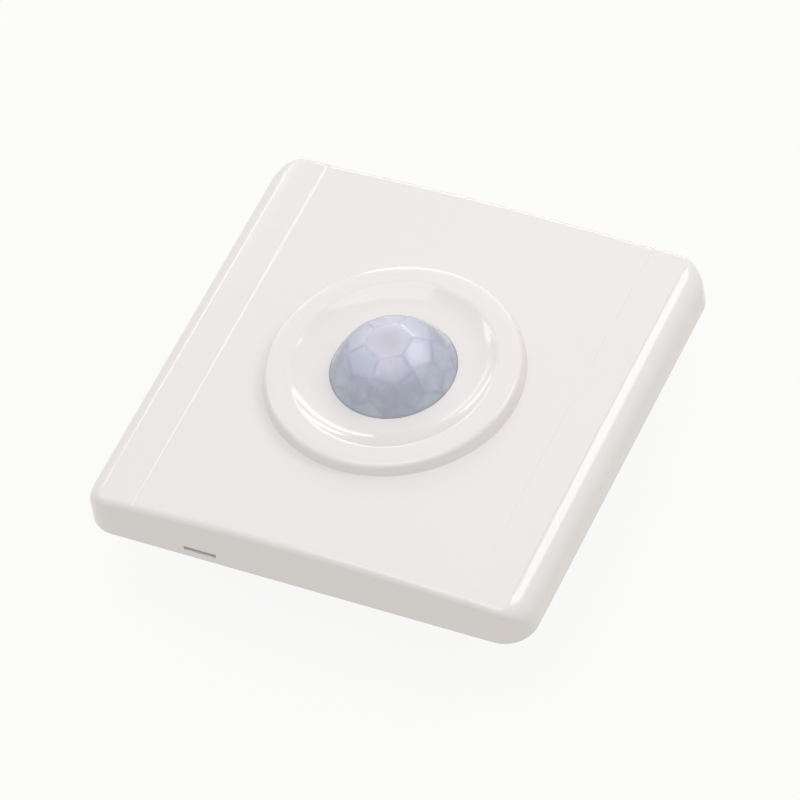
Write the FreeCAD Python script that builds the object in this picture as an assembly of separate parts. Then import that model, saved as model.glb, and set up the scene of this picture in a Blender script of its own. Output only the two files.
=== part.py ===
import FreeCAD, Part
import math
import os

# Wall-mounted motion sensor switch for a square wall box, in millimetres.
# The origin is the centre of the wall plane, +Z points out of the wall,
# +X to the right and +Y up the wall. Pieces below Z = 0 sit in the wall box.

V = FreeCAD.Vector
X_AXIS = V(1, 0, 0)
Y_AXIS = V(0, 1, 0)
Z_AXIS = V(0, 0, 1)

# Front cover, outside
cover_side = 86.0
cover_corner = 5.9
cover_rim_gap = 0.2
panel_height = 9.8
panel_rise = 1.2
side_draft = 0.15
end_draft = 1.1
side_roll = 5.2
end_round = 1.2
roll_close = 0.24
strip_width = 10.9
step_height = 0.36
step_front_height = 0.12
step_lean = 30.0
panel_dip = 0.05
strip_radius = 80.0
edge_band = 6.0
cut_spare = 1.0

# Front cover, inside
cover_wall = 1.8
cover_skin = 2.0
cavity_draft = 1.0

# Raised ring and the dish inside it
ring_radius = 23.58
ring_lean = 0.5
ring_height = 2.2
ring_edge = 0.9
ring_land = 3.05
ring_crown_radius = 9.0
ring_crown_width = 1.5
dish_lip = 2.4
dish_slope = 25.0
dish_depth = 1.25
dish_floor_skin = 1.5

# Lens dome
lens_base_radius = 11.4
lens_height = 8.33
lens_wall = 0.7
lens_gap = 0.12
lens_flange_reach = 2.4
lens_flange = 0.8
facet_counts = (6, 12, 12)
facet_slopes = (31.0, 53.0, 72.0)
facet_turns = (0.0, 15.0, 0.0)
facet_spread_angle = 11.5
centre_facet_angle = 17.5

# Lens retainer and the heat stakes that hold it
retainer_thickness = 2.2
ear_thickness = 1.1
ear_radius = 2.8
stake_circle = 18.6
stake_radius = 0.9
stake_gap = 0.1
stake_head = 1.5
stake_head_height = 0.7
stake_count = 3
first_stake_angle = 90.0

# Cover clips and the slot that a screwdriver opens them through
clip_place = 19.4
clip_inset = 6.6
clip_width = 6.0
clip_thickness = 1.2
clip_foot = 0.8
clip_gap = 0.4
pry_length = 6.3
pry_height = 0.9
pry_level = 2.24
pry_notch_spare = 1.3

# Mounting frame
frame_plate = 2.0
frame_rim_top = 4.6
frame_rim_wall = 1.2
frame_fit = 0.3
wall_screw_pitch = 60.3
wall_slot_width = 4.4
wall_slot_length = 7.5

# Rear housing
housing_x = 50.0
housing_y = 56.0
housing_seat = 0.3
housing_seat_gap = 0.1
housing_wall = 1.8
housing_corner = 3.0
aperture_lip = 3.0
boss_radius = 3.0
boss_inset = 3.5
pad_radius = 4.2

# Housing screws
housing_screw_radius = 1.3
housing_screw_head = 2.3
housing_screw_head_height = 1.0
housing_screw_length = 8.0
housing_screw_gap = 0.15
recess_width = 0.7
recess_depth = 0.55
recess_margin = 0.75

# Boards and what holds them
power_board_top = -4.6
power_board_thickness = 1.6
sensor_board_thickness = 1.2
spacer_length = 3.6
board_gap = 0.7
sensor_board_gap = 0.5
notch_gap = 0.4
post_radius = 2.2
post_place_x = 18.5
post_low_y = -9.0
post_high_y = 17.0
board_screw_radius = 1.0
board_screw_head = 1.9
board_screw_head_height = 1.2
board_screw_length = 12.0
board_screw_gap = 0.15
pilot_spare = 0.5

# Terminals: a rising clamp drawn along its screw, one for each pole
pole_count = 3
pole_pitch = 8.0
terminal_line = -21.6
terminal_end_wall = 1.9
terminal_front_wall = 1.4
terminal_back_wall = 2.4
terminal_floor_gap = 0.1
terminal_sill = 0.4
terminal_top_wall = 0.5
clamp_half_width = 2.6
clamp_half_length = 3.0
clamp_side = 0.7
clamp_thread_wall = 1.3
clamp_far_wall = 0.8
clamp_room = 0.1
clamp_travel = 2.6
wire_space = 3.3
contact_thickness = 1.0
contact_width = 3.0
contact_under_gap = 0.2
contact_leg_width = 1.6
contact_leg_thickness = 0.8
contact_leg_up = 0.8
leg_hole_gap = 0.1
terminal_screw_radius = 1.25
terminal_screw_head = 1.9
terminal_screw_head_height = 1.4
terminal_screw_gap = 0.1
terminal_throat = 1.7
thread_gap = 0.05
driver_slot_width = 0.6
driver_slot_depth = 0.7
wire_entry_radius = 2.1
screw_access_radius = 2.2

# Sensor in its can, on its spacer
can_spacer_radius = 4.9
can_spacer_height = 3.0
can_base_radius = 4.6
can_base_height = 0.5
can_radius = 4.15
can_height = 3.6
can_wall = 0.3
window_x = 4.0
window_y = 3.0
window_margin = 0.4
window_thickness = 0.4
can_lead_radius = 0.23
can_lead_circle = 2.54
can_lead_drop = 0.8
can_lead_angles = (-90.0, 30.0, 150.0)
element_x = 5.0
element_y = 3.4
element_height = 1.9
element_plate = 0.4

# Adjusters
trimmer_side = 6.6
trimmer_height = 3.0
trimmer_place_x = 12.0
trimmer_place_y = -18.4
rotor_radius = 2.4
rotor_gap = 0.1
rotor_sink = 1.5
rotor_proud = 0.4
rotor_slot_width = 0.7
rotor_slot_depth = 0.6
rotor_slot_length = 3.4
rotor_mark_width = 1.4
rotor_mark_length = 0.85

# Other pieces on the sensor board
photocell_radius = 2.55
photocell_height = 2.1
photocell_lift = 1.6
photocell_y = -8.4
photocell_flat = 0.35
photocell_lead_radius = 0.25
photocell_lead_pitch = 3.2
chip_x = 9.9
chip_y = 3.9
chip_height = 1.45
chip_lift = 0.15
chip_place_y = 10.6
chip_pin_pitch = 1.27
chip_pin_count = 8
chip_pin_width = 0.42
chip_pin_thickness = 0.22
chip_pin_reach = 1.05
chip_dimple = 0.5
chip_dimple_inset = 1.0
resistor_x = 1.6
resistor_y = 0.8
resistor_height = 0.45
resistor_rows = 3
resistor_columns = 2
resistor_pitch_x = 3.2
resistor_pitch_y = 3.0
resistor_field_x = 12.6
resistor_field_y = 0.5
filter_radius = 2.5
filter_height = 5.0
filter_place_x = 10.6
filter_place_y = 16.6

# Link between the two boards
link_pin_count = 6
link_pitch = 2.54
link_pin = 0.64
link_depth = 2.5
link_y = 20.6
link_socket_height = 2.5
link_header_height = 1.0
link_pin_gap = 0.08
link_pin_up = 0.8
link_pin_down = 2.2

# Pieces under the power board: place, and size or radius and height
relay_place = (-11.3, -2.4)
relay_size = (18.4, 7.2, 10.2)
film_place = (8.4, -5.2)
film_size = (13.0, 6.0, 10.8)
big_cap_place = (-10.0, 16.4)
big_cap_radius = 4.0
big_cap_height = 11.2
varistor_place = (4.0, 3.2)
varistor_radius = 4.1
varistor_thickness = 3.6
varistor_lift = 1.4
varistor_lead_pitch = 4.0
fuse_place = (15.6, 4.6)
fuse_radius = 4.1
fuse_height = 7.6
bridge_place = (3.2, 12.4)
bridge_size = (8.4, 6.3, 3.3)
regulator_place = (13.4, 13.0)
regulator_radius = 2.3
regulator_height = 4.5
regulator_flat = 1.1
regulator_lift = 1.2
dropper_place = (-11.0, 7.0)
dropper_radius = 1.7
dropper_length = 9.0
dropper_lift = 0.6
small_lead_radius = 0.3
edge_break = 0.5

# Levels and sizes that follow from the ones above
half_cover = cover_side / 2.0
step_place = half_cover - strip_width
clip_line = half_cover - clip_inset
rim_level = cover_rim_gap
arch_reach = half_cover - side_roll
arch_radius = (arch_reach ** 2 + panel_rise ** 2) / (2.0 * panel_rise)
blank_top = panel_height + cut_spare
skin_under = panel_height - cover_skin
ring_top = panel_height + ring_height
dish_floor = ring_top - dish_depth
flange_top = dish_floor - dish_floor_skin
flange_under = flange_top - lens_flange
retainer_under = flange_under - retainer_thickness
ear_top = retainer_under + ear_thickness
lens_radius = (lens_base_radius ** 2 + lens_height ** 2) / (2.0 * lens_height)
lens_centre = dish_floor + lens_height - lens_radius
power_board_under = power_board_top - power_board_thickness
sensor_board_under = power_board_top + spacer_length
sensor_board_top = sensor_board_under + sensor_board_thickness
boss_x = housing_x / 2.0 - boss_inset
boss_y = housing_y / 2.0 - boss_inset
aperture_x = housing_x - 2.0 * aperture_lip
aperture_y = housing_y - 2.0 * aperture_lip
far_wall_top = power_board_under - terminal_top_wall - clamp_room
wire_top = far_wall_top - clamp_far_wall
contact_top = wire_top - wire_space
contact_under = contact_top - contact_thickness
thread_wall_top = contact_under - contact_under_gap
clamp_under = thread_wall_top - clamp_thread_wall
chamber_under = clamp_under - clamp_travel - clamp_room
screw_room_under = chamber_under - terminal_screw_head_height - 2.0 * terminal_screw_gap
terminal_under = screw_room_under - terminal_sill
housing_floor = terminal_under - terminal_floor_gap
housing_back = housing_floor - housing_wall
wire_level = contact_top + wire_space / 2.0
poles = [(i - (pole_count - 1) / 2.0) * pole_pitch for i in range(pole_count)]
corners = [(sx, sy) for sx in (-1, 1) for sy in (-1, 1)]


def box(x0, x1, y0, y1, z0, z1):
    return Part.makeBox(x1 - x0, y1 - y0, z1 - z0, V(x0, y0, z0))


def block(cx, cy, sx, sy, z0, z1):
    return box(cx - sx / 2.0, cx + sx / 2.0, cy - sy / 2.0, cy + sy / 2.0, z0, z1)


def rod(cx, cy, r, z0, z1):
    return Part.makeCylinder(r, z1 - z0, V(cx, cy, z0), Z_AXIS)


def tube(cx, cy, r_out, r_in, z0, z1):
    return rod(cx, cy, r_out, z0, z1).cut(rod(cx, cy, r_in, z0, z1))


def dome_radius(z):
    return math.sqrt(lens_radius ** 2 - (z - lens_centre) ** 2)


def rounded_wire(hx, hy, r, z):
    starts = [(hx, -hy + r), (hx - r, hy), (-hx, hy - r), (-hx + r, -hy)]
    ends = [(hx, hy - r), (-hx + r, hy), (-hx, -hy + r), (hx - r, -hy)]
    centres = [(hx - r, hy - r), (-hx + r, hy - r), (-hx + r, -hy + r), (hx - r, -hy + r)]
    edges = []
    for i in range(4):
        start = V(starts[i][0], starts[i][1], z)
        end = V(ends[i][0], ends[i][1], z)
        after = V(starts[(i + 1) % 4][0], starts[(i + 1) % 4][1], z)
        angle = math.radians(45.0 + 90.0 * i)
        cx, cy = centres[i]
        middle = V(cx + r * math.cos(angle), cy + r * math.sin(angle), z)
        edges.append(Part.LineSegment(start, end).toShape())
        edges.append(Part.Arc(end, middle, after).toShape())
    return Part.Wire(edges)


def rounded_block(hx, hy, r, z0, z1):
    face = Part.Face(rounded_wire(hx, hy, r, z0))
    return face.extrude(V(0, 0, z1 - z0))


def tapered_block(low, high):
    return Part.makeLoft([rounded_wire(*low), rounded_wire(*high)], True, True)


def revolve_profile(edges):
    return Part.Face(Part.Wire(edges)).revolve(V(0, 0, 0), Z_AXIS, 360)


def line(a, b):
    return Part.LineSegment(V(a[0], 0, a[1]), V(b[0], 0, b[1])).toShape()


def arc(a, m, b):
    return Part.Arc(V(a[0], 0, a[1]), V(m[0], 0, m[1]), V(b[0], 0, b[1])).toShape()


def arch_height(x, crown):
    return crown - arch_radius + math.sqrt(arch_radius ** 2 - x ** 2)


def under_arch(crown):
    # everything below the shallow cylinder whose crown line lies along Y
    length = cover_side + 2.0 * cut_spare
    start = V(0, -length / 2.0, crown - arch_radius)
    return Part.makeCylinder(arch_radius, length, start, Y_AXIS)


def cavity_half(z):
    share = (z - rim_level) / (panel_height - rim_level)
    return half_cover - cover_wall - cavity_draft * share


def save(name, shape):
    os.makedirs("parts", exist_ok=True)
    shape.exportStep("parts/" + name + ".step")


# Front cover
def strip_centre():
    # each strip's own rounder arc is tangent to the wide arch where the panel ends
    slope = math.asin(step_place / arch_radius)
    x = step_place - strip_radius * math.sin(slope)
    z = arch_height(step_place, panel_height) - strip_radius * math.cos(slope)
    return x, z


def strip_top(x):
    # height and slope of a strip at a distance from the middle line
    centre_x, centre_z = strip_centre()
    rise = math.sqrt(strip_radius ** 2 - (x - centre_x) ** 2)
    return centre_z + rise, (centre_x - x) / rise


def strip_cutter(side):
    centre_x, centre_z = strip_centre()
    reach = half_cover + cut_spare
    drum = Part.makeCylinder(strip_radius, 2.0 * reach, V(side * centre_x, -reach, centre_z), Y_AXIS)
    x0, x1 = sorted((side * step_place, side * reach))
    return box(x0, x1, -reach, reach, panel_height - edge_band, blank_top).cut(drum)


def cover_blank():
    low = (half_cover, half_cover, cover_corner, rim_level)
    high = (half_cover - side_draft, half_cover - end_draft, cover_corner - side_draft, blank_top)
    blank = tapered_block(low, high).common(under_arch(panel_height))
    for side in (-1, 1):
        blank = blank.cut(strip_cutter(side))
    return blank.removeSplitter()


def outer_top_edges(shape):
    edges = []
    inner = half_cover - 0.5 * cover_corner
    for edge in shape.Edges:
        middle = edge.valueAt(0.5 * (edge.FirstParameter + edge.LastParameter))
        low = min(vertex.Z for vertex in edge.Vertexes)
        if low > panel_height - edge_band and max(abs(middle.x), abs(middle.y)) > inner:
            edges.append(edge)
    return edges


def roll_section(turn, radius):
    # what a rolled edge leaves out, in the upright plane that turns about a corner's axis
    axis = half_cover - cover_corner
    out_x, out_y = math.cos(turn), math.sin(turn)
    height = blank_top - rim_level
    draft = side_draft + (end_draft - side_draft) * out_y ** 2
    wall = cover_corner - draft * (strip_top(half_cover)[0] - radius - rim_level) / height
    centre = wall - radius
    touch = centre
    for _ in range(4):
        slope = strip_top(axis + touch * out_x)[1] * out_x
        touch = centre - radius * slope / math.hypot(1.0, slope)
    top = strip_top(axis + touch * out_x)[0]
    level = top - radius / math.hypot(1.0, slope)
    half_turn = 0.5 * math.atan2(1.0, -slope)
    middle = (centre + radius * math.cos(half_turn), level + radius * math.sin(half_turn))
    rise = top + cut_spare

    def place(rho, z):
        return V(axis + rho * out_x, axis + rho * out_y, z)

    points = [place(touch, top), place(touch, rise), place(wall + cut_spare, rise),
              place(wall + cut_spare, level), place(wall, level)]
    edges = [Part.LineSegment(p, q).toShape() for p, q in zip(points, points[1:])]
    edges.append(Part.Arc(points[-1], place(*middle), points[0]).toShape())
    return Part.Wire(edges)


def side_rolls():
    # wide along each side, closing to the tighter end rounding through the corners
    steps = 6
    change = end_round - roll_close - side_roll
    sections = []
    for i in range(steps + 1):
        turn = math.radians(90.0 * i / steps)
        sections.append(roll_section(turn, side_roll + change * math.sin(turn) ** 2))
    corner = Part.makeLoft(sections, True, False)
    reach = half_cover - cover_corner
    side = Part.Face(roll_section(0.0, side_roll)).extrude(V(0, -2.0 * reach, 0))
    rolls = [side, corner, corner.mirror(V(0, 0, 0), Y_AXIS)]
    return rolls + [roll.mirror(V(0, 0, 0), X_AXIS) for roll in rolls]


def ring_and_dish():
    # the land's outer part falls off along a wide arc that a tighter one carries on to the side
    outer_top = ring_radius - ring_lean
    fall = math.asin(ring_crown_width / ring_crown_radius)
    crown_out = outer_top - ring_edge * (1.0 - math.sin(fall))
    crown_in = crown_out - ring_crown_width
    land_in = crown_out - ring_land
    crown_level = ring_top - ring_crown_radius
    crown_end = (crown_out, crown_level + ring_crown_radius * math.cos(fall))
    crown_middle = (crown_in + ring_crown_radius * math.sin(fall / 2.0),
                    crown_level + ring_crown_radius * math.cos(fall / 2.0))
    edge_level = crown_end[1] - ring_edge * math.cos(fall)
    edge_turn = 0.5 * (math.pi / 2.0 - fall)
    slope = math.radians(dish_slope)
    lip_end = (land_in - dish_lip * math.sin(slope), ring_top - dish_lip * (1.0 - math.cos(slope)))
    lip_middle = (land_in - dish_lip * math.sin(slope / 2.0),
                  ring_top - dish_lip * (1.0 - math.cos(slope / 2.0)))
    sweep = (lip_end[1] - dish_floor) / (1.0 - math.cos(slope))
    foot = (lip_end[0] - sweep * math.sin(slope), dish_floor)
    hollow_middle = (foot[0] + sweep * math.sin(slope / 2.0),
                     dish_floor + sweep * (1.0 - math.cos(slope / 2.0)))
    edge_low = (outer_top, edge_level)
    edge_middle = (outer_top - ring_edge * (1.0 - math.cos(edge_turn)),
                   edge_level + ring_edge * math.sin(edge_turn))
    root = arch_height(ring_radius, panel_height) - 0.5 * cover_skin
    return revolve_profile([
        line((0, root), (ring_radius, root)),
        line((ring_radius, root), edge_low),
        arc(edge_low, edge_middle, crown_end),
        arc(crown_end, crown_middle, (crown_in, ring_top)),
        line((crown_in, ring_top), (land_in, ring_top)),
        arc((land_in, ring_top), lip_middle, lip_end),
        arc(lip_end, hollow_middle, foot),
        line(foot, (0, dish_floor)),
        line((0, dish_floor), (0, root)),
    ])


def recess_end(y, height):
    # the panel's own arch with a sloped step up to the strips at its sides
    foot = arch_height(step_place, panel_height) - height
    rise = (blank_top - foot) / math.tan(math.radians(step_lean))
    crown = V(0, y, panel_height - panel_dip)
    left, right = V(-step_place, y, foot), V(step_place, y, foot)
    high_left, high_right = V(-step_place - rise, y, blank_top), V(step_place + rise, y, blank_top)
    edges = [Part.Arc(left, crown, right).toShape()]
    for a, b in ((right, high_right), (high_right, high_left), (high_left, left)):
        edges.append(Part.LineSegment(a, b).toShape())
    return Part.Wire(edges)


def panel_recess():
    # the step is deepest at the back and nearly gone at the front
    reach = half_cover + cut_spare
    ends = [recess_end(-reach, step_front_height), recess_end(reach, step_height)]
    return Part.makeLoft(ends, True, True)


def stake_places():
    for i in range(stake_count):
        angle = math.radians(first_stake_angle + 360.0 * i / stake_count)
        yield stake_circle * math.cos(angle), stake_circle * math.sin(angle)


def front_cover():
    cover = cover_blank()
    cover = cover.makeFillet(end_round, outer_top_edges(cover))
    cover = cover.cut(side_rolls())
    cover = cover.cut(panel_recess())
    inner_corner = cover_corner - cover_wall
    levels = (rim_level - cut_spare, panel_height)
    ends = [(cavity_half(z), cavity_half(z), inner_corner, z) for z in levels]
    cover = cover.cut(tapered_block(*ends).common(under_arch(skin_under)))
    pocket_radius = dome_radius(flange_under) + lens_flange_reach + clip_gap
    cover = cover.fuse(ring_and_dish())
    cover = cover.cut(rod(0, 0, pocket_radius, rim_level, flange_top))
    hole_low = dome_radius(flange_top) + lens_gap
    hole_high = lens_base_radius + lens_gap
    taper = cut_spare * (hole_high - hole_low) / dish_floor_skin
    depth = dish_floor_skin + 2.0 * cut_spare
    start = V(0, 0, flange_top - cut_spare)
    cover = cover.cut(Part.makeCone(hole_low - taper, hole_high + taper, depth, start))
    slot = block(-clip_place, -half_cover, pry_length, 4.0 * cover_wall,
                 pry_level - pry_height / 2.0, pry_level + pry_height / 2.0)
    cover = cover.cut(slot)
    for sx, sy in corners:
        clip = block(sx * clip_place, sy * clip_line, clip_width, clip_thickness, clip_foot,
                     skin_under)
        cover = cover.fuse(clip)
    for x, y in stake_places():
        stake = rod(x, y, ear_radius, ear_top, skin_under)
        stake = stake.fuse(rod(x, y, stake_radius, retainer_under - stake_head_height, ear_top))
        head = rod(x, y, stake_head, retainer_under - stake_head_height, retainer_under)
        cover = cover.fuse(stake.fuse(head))
    return cover.removeSplitter()


def facet_directions():
    yield 0.0, 0.0, centre_facet_angle
    for count, slope, turn in zip(facet_counts, facet_slopes, facet_turns):
        for i in range(count):
            yield slope, turn + 360.0 * i / count, facet_spread_angle


def fresnel_lens():
    outer = Part.makeSphere(lens_radius, V(0, 0, lens_centre))
    reach = 2.0 * lens_radius
    for slope, turn, spread in facet_directions():
        flat = lens_radius * math.cos(math.radians(spread))
        cutter = Part.makeBox(reach, reach, reach, V(-reach / 2.0, -reach / 2.0, flat))
        cutter.rotate(V(0, 0, 0), Y_AXIS, slope)
        cutter.rotate(V(0, 0, 0), Z_AXIS, turn)
        cutter.translate(V(0, 0, lens_centre))
        outer = outer.cut(cutter)
    flange_radius = dome_radius(flange_under) + lens_flange_reach
    lens = outer.common(rod(0, 0, reach, flange_under, flange_under + reach))
    lens = lens.fuse(rod(0, 0, flange_radius, flange_under, flange_top))
    lens = lens.cut(Part.makeSphere(lens_radius - lens_wall, V(0, 0, lens_centre)))
    return lens.removeSplitter()


def lens_retainer():
    outer = dome_radius(flange_under) + lens_flange_reach
    inner = math.sqrt((lens_radius - lens_wall) ** 2 - (flange_under - lens_centre) ** 2)
    ring = rod(0, 0, outer, retainer_under, flange_under)
    for x, y in stake_places():
        ear = rod(x, y, ear_radius, retainer_under, ear_top)
        arm = box(0, stake_circle, -ear_radius, ear_radius, retainer_under, ear_top)
        arm.rotate(V(0, 0, 0), Z_AXIS, math.degrees(math.atan2(y, x)))
        ring = ring.fuse([ear, arm])
    ring = ring.cut(rod(0, 0, inner, retainer_under, flange_under))
    for x, y in stake_places():
        ring = ring.cut(rod(x, y, stake_radius + stake_gap, retainer_under, ear_top))
    return ring.removeSplitter()


# Mounting frame
def frame_half():
    return cavity_half(frame_rim_top) - frame_fit


def mounting_frame():
    half = frame_half()
    corner = cover_corner - cover_wall - frame_fit
    inner = half - frame_rim_wall
    frame = rounded_block(half, half, corner, 0, frame_rim_top)
    frame = frame.cut(rounded_block(inner, inner, corner - frame_rim_wall, frame_plate, frame_rim_top))
    aperture = block(0, 0, aperture_x, aperture_y, 0, frame_plate)
    for sx, sy in corners:
        aperture = aperture.cut(rod(sx * boss_x, sy * boss_y, pad_radius, 0, frame_plate))
    seat = rounded_block(housing_x / 2.0 + housing_seat_gap, housing_y / 2.0 + housing_seat_gap,
                         housing_corner + housing_seat_gap, 0, housing_seat)
    frame = frame.cut([aperture, seat])
    for sx, sy in corners:
        head_room = housing_screw_head + housing_screw_gap
        shank_room = housing_screw_radius + housing_screw_gap
        seat = frame_plate - housing_screw_head_height
        frame = frame.cut(rod(sx * boss_x, sy * boss_y, head_room, seat, frame_plate))
        frame = frame.cut(rod(sx * boss_x, sy * boss_y, shank_room, 0, frame_plate))
        frame = frame.cut(block(sx * clip_place, sy * clip_line, clip_width + 2.0 * clip_gap,
                                clip_thickness + 2.0 * clip_gap, 0, frame_plate))
    for side in (-1, 1):
        x = side * wall_screw_pitch / 2.0
        straight = wall_slot_length - wall_slot_width
        frame = frame.cut(block(x, 0, straight, wall_slot_width, 0, frame_plate))
        for end in (-1, 1):
            frame = frame.cut(rod(x + end * straight / 2.0, 0, wall_slot_width / 2.0, 0, frame_plate))
    notch_depth = 2.0 * frame_rim_wall
    notch = block(-clip_place, -half, pry_length + 2.0 * pry_notch_spare, notch_depth,
                  frame_plate, frame_rim_top)
    way_in = block(-clip_place, -half, pry_length, notch_depth, pry_level - pry_height / 2.0,
                   frame_rim_top)
    frame = frame.cut([notch, way_in])
    return frame.removeSplitter()


# Rear housing
def post_places():
    for y in (post_low_y, post_high_y):
        for side in (-1, 1):
            yield side * post_place_x, y


def rear_housing():
    hx = housing_x / 2.0
    hy = housing_y / 2.0
    shell = rounded_block(hx, hy, housing_corner, housing_back, housing_seat)
    shell = shell.cut(rounded_block(hx - housing_wall, hy - housing_wall, housing_corner - housing_wall,
                                    housing_floor, housing_seat))
    for sx, sy in corners:
        boss = rod(sx * boss_x, sy * boss_y, boss_radius, housing_floor, housing_seat)
        shell = shell.fuse(boss)
    for x, y in post_places():
        shell = shell.fuse(rod(x, y, post_radius, housing_floor, power_board_under))
    screw_tip = frame_plate - housing_screw_head_height - housing_screw_length
    for sx, sy in corners:
        pilot = rod(sx * boss_x, sy * boss_y, housing_screw_radius, screw_tip - pilot_spare, housing_seat)
        shell = shell.cut(pilot)
    screw_tip = sensor_board_top - board_screw_length
    for x, y in post_places():
        shell = shell.cut(rod(x, y, board_screw_radius, screw_tip - pilot_spare, power_board_under))
    for x in poles:
        wire_hole = Part.makeCylinder(wire_entry_radius, housing_wall, V(x, -hy, wire_level), Y_AXIS)
        access = rod(x, terminal_line, screw_access_radius, housing_back, housing_floor)
        shell = shell.cut([wire_hole, access])
    return shell.removeSplitter()


def pan_screw(x, y, radius, head, head_height, length, seat):
    # seat is the level under the head
    screw = rod(x, y, radius, seat - length, seat)
    screw = screw.fuse(rod(x, y, head, seat, seat + head_height))
    top = seat + head_height
    length = 2.0 * (head - recess_margin)
    for size_x, size_y in ((length, recess_width), (recess_width, length)):
        screw = screw.cut(block(x, y, size_x, size_y, top - recess_depth, top))
    return screw


def housing_screws():
    seat = frame_plate - housing_screw_head_height
    return Part.makeCompound([
        pan_screw(sx * boss_x, sy * boss_y, housing_screw_radius, housing_screw_head,
                  housing_screw_head_height, housing_screw_length, seat)
        for sx, sy in corners])


# Boards
def board_screws():
    return Part.makeCompound([
        pan_screw(x, y, board_screw_radius, board_screw_head, board_screw_head_height,
                  board_screw_length, sensor_board_top)
        for x, y in post_places()])


def board_spacers():
    hole = board_screw_radius + board_screw_gap
    return Part.makeCompound([
        tube(x, y, post_radius, hole, power_board_top, sensor_board_under) for x, y in post_places()])


def link_places():
    for i in range(link_pin_count):
        yield (i - (link_pin_count - 1) / 2.0) * link_pitch


def drilled(board, z0, z1):
    for x, y in post_places():
        board = board.cut(rod(x, y, board_screw_radius + board_screw_gap, z0, z1))
    return board


def power_board():
    z0, z1 = power_board_under, power_board_top
    hx = housing_x / 2.0 - housing_wall - board_gap
    hy = housing_y / 2.0 - housing_wall - board_gap
    board = box(-hx, hx, -hy, hy, z0, z1)
    for sx, sy in corners:
        board = board.cut(rod(sx * boss_x, sy * boss_y, boss_radius + notch_gap, z0, z1))
        board = board.cut(block(sx * hx, sy * hy, 2.0 * (hx - boss_x), 2.0 * (hy - boss_y), z0, z1))
    board = drilled(board, z0, z1)
    for x in poles:
        hole = math.hypot(contact_leg_width, contact_leg_thickness) / 2.0 + leg_hole_gap
        board = board.cut(rod(x, leg_y(), hole, z0, z1))
    return board


def sensor_board():
    z0, z1 = sensor_board_under, sensor_board_top
    hx = aperture_x / 2.0 - sensor_board_gap
    hy = aperture_y / 2.0 - sensor_board_gap
    board = box(-hx, hx, -hy, hy, z0, z1)
    for sx, sy in corners:
        board = board.cut(rod(sx * boss_x, sy * boss_y, pad_radius + notch_gap, z0, z1))
    board = drilled(board, z0, z1)
    for x in link_places():
        board = board.cut(block(x, link_y, link_pin, link_pin, z0, z1))
    for x, y in can_lead_places():
        board = board.cut(rod(x, y, can_lead_radius, z0, z1))
    return board


# Terminals
def leg_y():
    return terminal_line + clamp_half_length + clamp_room + terminal_back_wall - contact_leg_thickness


def terminal_contact(x):
    y0 = terminal_line - clamp_half_length
    bar = box(x - contact_width / 2.0, x + contact_width / 2.0, y0, leg_y() + contact_leg_thickness / 2.0,
              contact_under, contact_top)
    leg = block(x, leg_y(), contact_leg_width, contact_leg_thickness, contact_under,
                power_board_top + contact_leg_up)
    return bar.fuse(leg).removeSplitter()


def terminal_block():
    y0 = terminal_line - clamp_half_length - clamp_room - terminal_front_wall
    y1 = terminal_line + clamp_half_length + clamp_room + terminal_back_wall
    reach = poles[-1] + clamp_half_width + clamp_room + terminal_end_wall
    body = box(-reach, reach, y0, y1, terminal_under, power_board_under)
    for x in poles:
        chamber = block(x, terminal_line, 2.0 * (clamp_half_width + clamp_room),
                        2.0 * (clamp_half_length + clamp_room), chamber_under, far_wall_top + clamp_room)
        head_room = rod(x, terminal_line, terminal_screw_head + terminal_screw_gap, screw_room_under,
                        chamber_under)
        throat = rod(x, terminal_line, terminal_throat, terminal_under, screw_room_under)
        funnel = Part.makeCylinder(wire_entry_radius, terminal_front_wall, V(x, y0, wire_level), Y_AXIS)
        body = body.cut([chamber, head_room, throat, funnel, terminal_contact(x)])
    return body.removeSplitter()


def terminal_screw(x):
    seat = chamber_under - terminal_screw_gap
    low = seat - terminal_screw_head_height
    screw = rod(x, terminal_line, terminal_screw_radius, seat, contact_under)
    screw = screw.fuse(rod(x, terminal_line, terminal_screw_head, low, seat))
    slot = block(x, terminal_line, 2.0 * terminal_screw_head, driver_slot_width, low,
                 low + driver_slot_depth)
    return screw.cut(slot)


def terminal_cage(x):
    y0 = terminal_line - clamp_half_length
    y1 = terminal_line + clamp_half_length
    inner = clamp_half_width - clamp_side
    cage = box(x - clamp_half_width, x + clamp_half_width, y0, y1, clamp_under, far_wall_top)
    cage = cage.cut(box(x - inner, x + inner, y0, y1, thread_wall_top, wire_top))
    thread = rod(x, terminal_line, terminal_screw_radius + thread_gap, clamp_under, thread_wall_top)
    return cage.cut(thread)


# Sensor in its can
def can_lead_places():
    for angle in can_lead_angles:
        turn = math.radians(angle)
        yield can_lead_circle * math.cos(turn), can_lead_circle * math.sin(turn)


def can_base_level():
    return sensor_board_top + can_spacer_height


def pir_spacer():
    z0, z1 = sensor_board_top, can_base_level()
    spacer = rod(0, 0, can_spacer_radius, z0, z1)
    for x, y in can_lead_places():
        spacer = spacer.cut(rod(x, y, can_lead_radius, z0, z1))
    return spacer


def pir_header():
    z0 = can_base_level()
    header = rod(0, 0, can_base_radius, z0, z0 + can_base_height)
    for x, y in can_lead_places():
        header = header.fuse(rod(x, y, can_lead_radius, sensor_board_under - can_lead_drop, z0))
        header = header.fuse(rod(x, y, can_lead_radius, z0, z0 + element_height))
    return header.removeSplitter()


def pir_can():
    z0 = can_base_level() + can_base_height
    z1 = z0 + can_height
    can = tube(0, 0, can_radius, can_radius - can_wall, z0, z1 - can_wall)
    can = can.fuse(rod(0, 0, can_radius, z1 - can_wall, z1))
    return can.cut(block(0, 0, window_x, window_y, z1 - can_wall, z1)).removeSplitter()


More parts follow.
